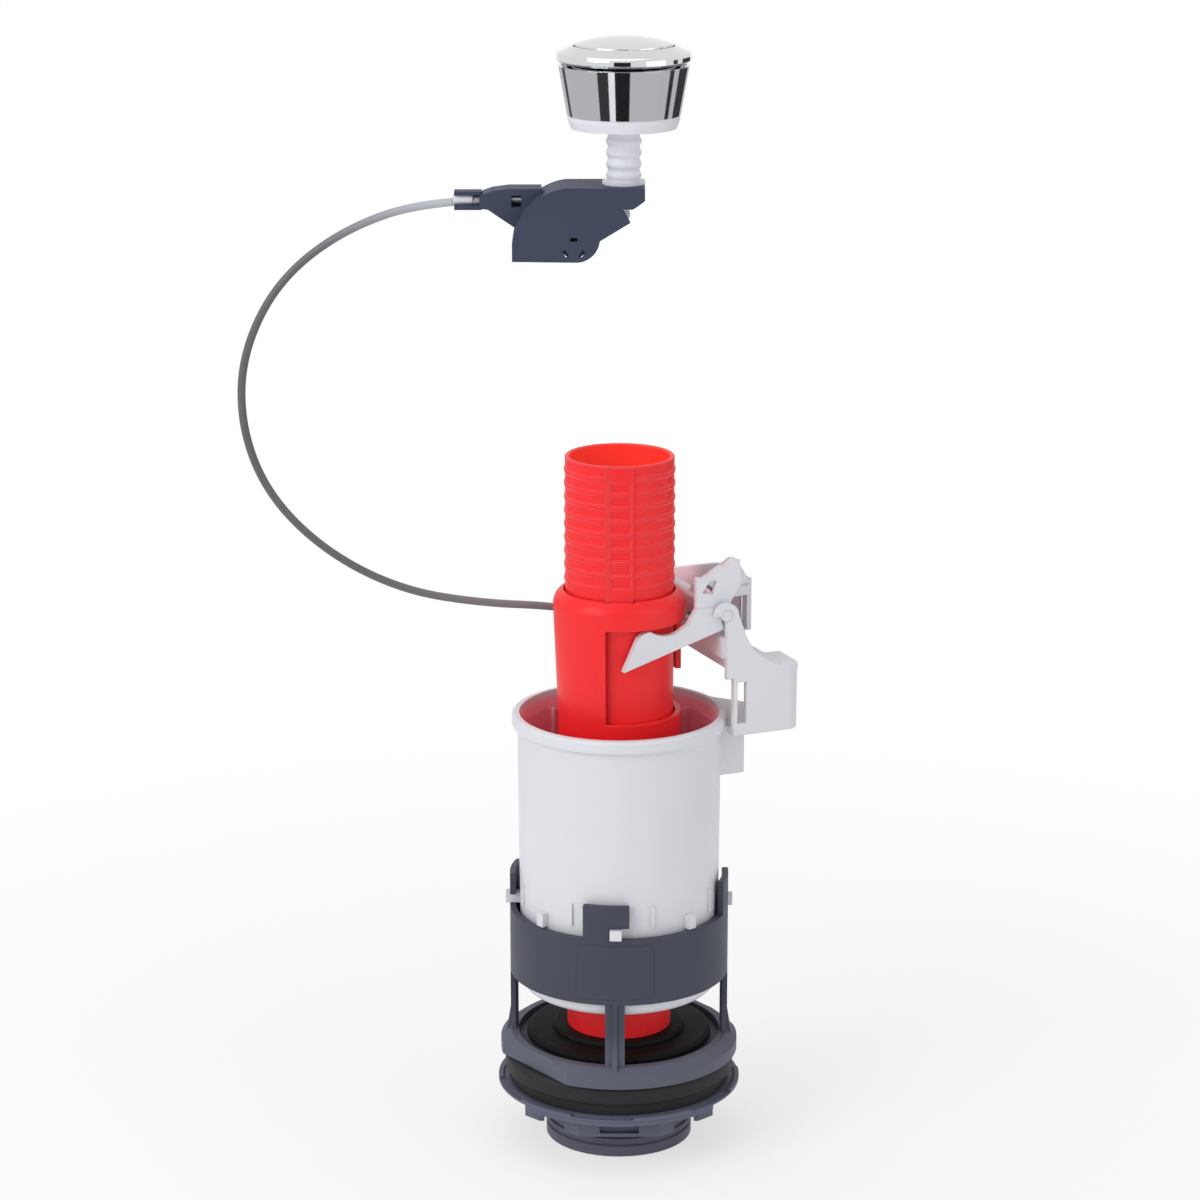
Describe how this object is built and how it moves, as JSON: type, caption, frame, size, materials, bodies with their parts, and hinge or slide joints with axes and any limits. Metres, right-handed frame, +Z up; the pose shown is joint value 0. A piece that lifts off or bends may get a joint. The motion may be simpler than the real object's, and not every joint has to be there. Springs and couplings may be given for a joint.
{
  "type": "cable-operated flush valve",
  "caption": "Cistern flush valve with an overflow tube, a bayonet cup, a sealed lift tube and a threaded outlet, lifted by a push button through a cable, rocker and fork lever.",
  "frame": {"origin": "centre of the threaded outlet's bottom face", "axes": "+Z up along the outlet and overflow tube, towards the button; +X towards the lever bracket's side; -Y towards the viewer of the picture"},
  "size_m": [0.2229, 0.0988, 0.449],
  "materials": {
    "grey_plastic": "fine-grained moulded",
    "nut_plastic": "fine-grained moulded",
    "housing_plastic": "fine-grained moulded",
    "gasket_rubber": "matt",
    "seal_rubber": "matt",
    "white_plastic": "satin moulded",
    "stem_plastic": "satin, slightly see-through",
    "red_plastic": "glossy moulded",
    "retainer_plastic": "smooth",
    "cable_cover": "smooth",
    "chrome": "polished plating",
    "steel": "drawn wire"
  },
  "bodies": {
    "cage": {"base_cage": "grey_plastic"},
    "cup": {"cup": "white_plastic", "lever_bracket": "white_plastic", "cable_sheath": "cable_cover", "upper_ferrule": "steel", "lower_ferrule": "steel", "upper_wire": "steel", "lower_wire_run": "steel", "actuator_housing": "housing_plastic", "button_base": "stem_plastic", "button_sleeve": "chrome", "button_bezel": "chrome", "button_spring": "steel"},
    "tube": {"lift_tube": "red_plastic", "valve_seal": "seal_rubber", "seal_retainer": "retainer_plastic", "seal_clip": "white_plastic"},
    "overflow": {"overflow_tube": "red_plastic"},
    "lever": {"lift_lever": "white_plastic", "lower_wire_wrap": "steel", "lower_nipple": "steel"},
    "rocker": {"actuator_rocker": "white_plastic", "upper_nipple": "steel"},
    "button": {"button_cap": "chrome", "push_rod": "white_plastic"},
    "gasket": {"cistern_gasket": "gasket_rubber"},
    "nut": {"back_nut": "nut_plastic"}
  },
  "joints": [
    {"name": "cup_turn", "type": "hinge", "parent": "cage", "child": "cup", "pos_m": [0, 0, 0.1], "axis": [0, 0, 1], "range_deg": [0, 12]},
    {"name": "button_press", "type": "slide", "parent": "cup", "child": "button", "axis": [0, 0, -1], "range_m": [0, 0.0085], "stiffness_N_per_m": 200, "springref_m": -0.004, "deforming": ["button_spring"]},
    {"name": "rocker_turn", "type": "hinge", "parent": "cup", "child": "rocker", "pos_m": [-0.0178, 0, 0.3688], "axis": [0, 1, 0], "range_deg": [0, 24.3], "deforming": ["upper_wire"]},
    {"name": "lever_lift", "type": "hinge", "parent": "cup", "child": "lever", "pos_m": [0.0313, 0.01328, 0.223], "axis": [-0.3907, 0.9205, 0], "range_deg": [0, 21.2], "deforming": ["lower_wire_run", "lower_wire_wrap"]},
    {"name": "tube_lift", "type": "slide", "parent": "cup", "child": "tube", "axis": [0, 0, 1], "range_m": [0, 0.0114]},
    {"name": "overflow_adjust", "type": "slide", "parent": "tube", "child": "overflow", "axis": [0, 0, 1], "range_m": [-0.025, 0.015]},
    {"name": "gasket_slide", "type": "slide", "parent": "cage", "child": "gasket", "axis": [0, 0, 1], "range_m": [-0.0103, 0]},
    {"name": "nut_turn", "type": "hinge", "parent": "gasket", "child": "nut", "pos_m": [0, 0, 0.02], "axis": [0, 0, 1], "range_deg": [-1080, 0]}
  ],
  "couplings": [
    {"joint": "rocker_turn", "follows": "button_press", "rad_per_m": 49.28},
    {"joint": "lever_lift", "follows": "button_press", "rad_per_m": 42.905},
    {"joint": "tube_lift", "follows": "button_press", "ratio": 1.3176},
    {"joint": "gasket_slide", "follows": "nut_turn", "m_per_rad": 0.00054113}
  ]
}
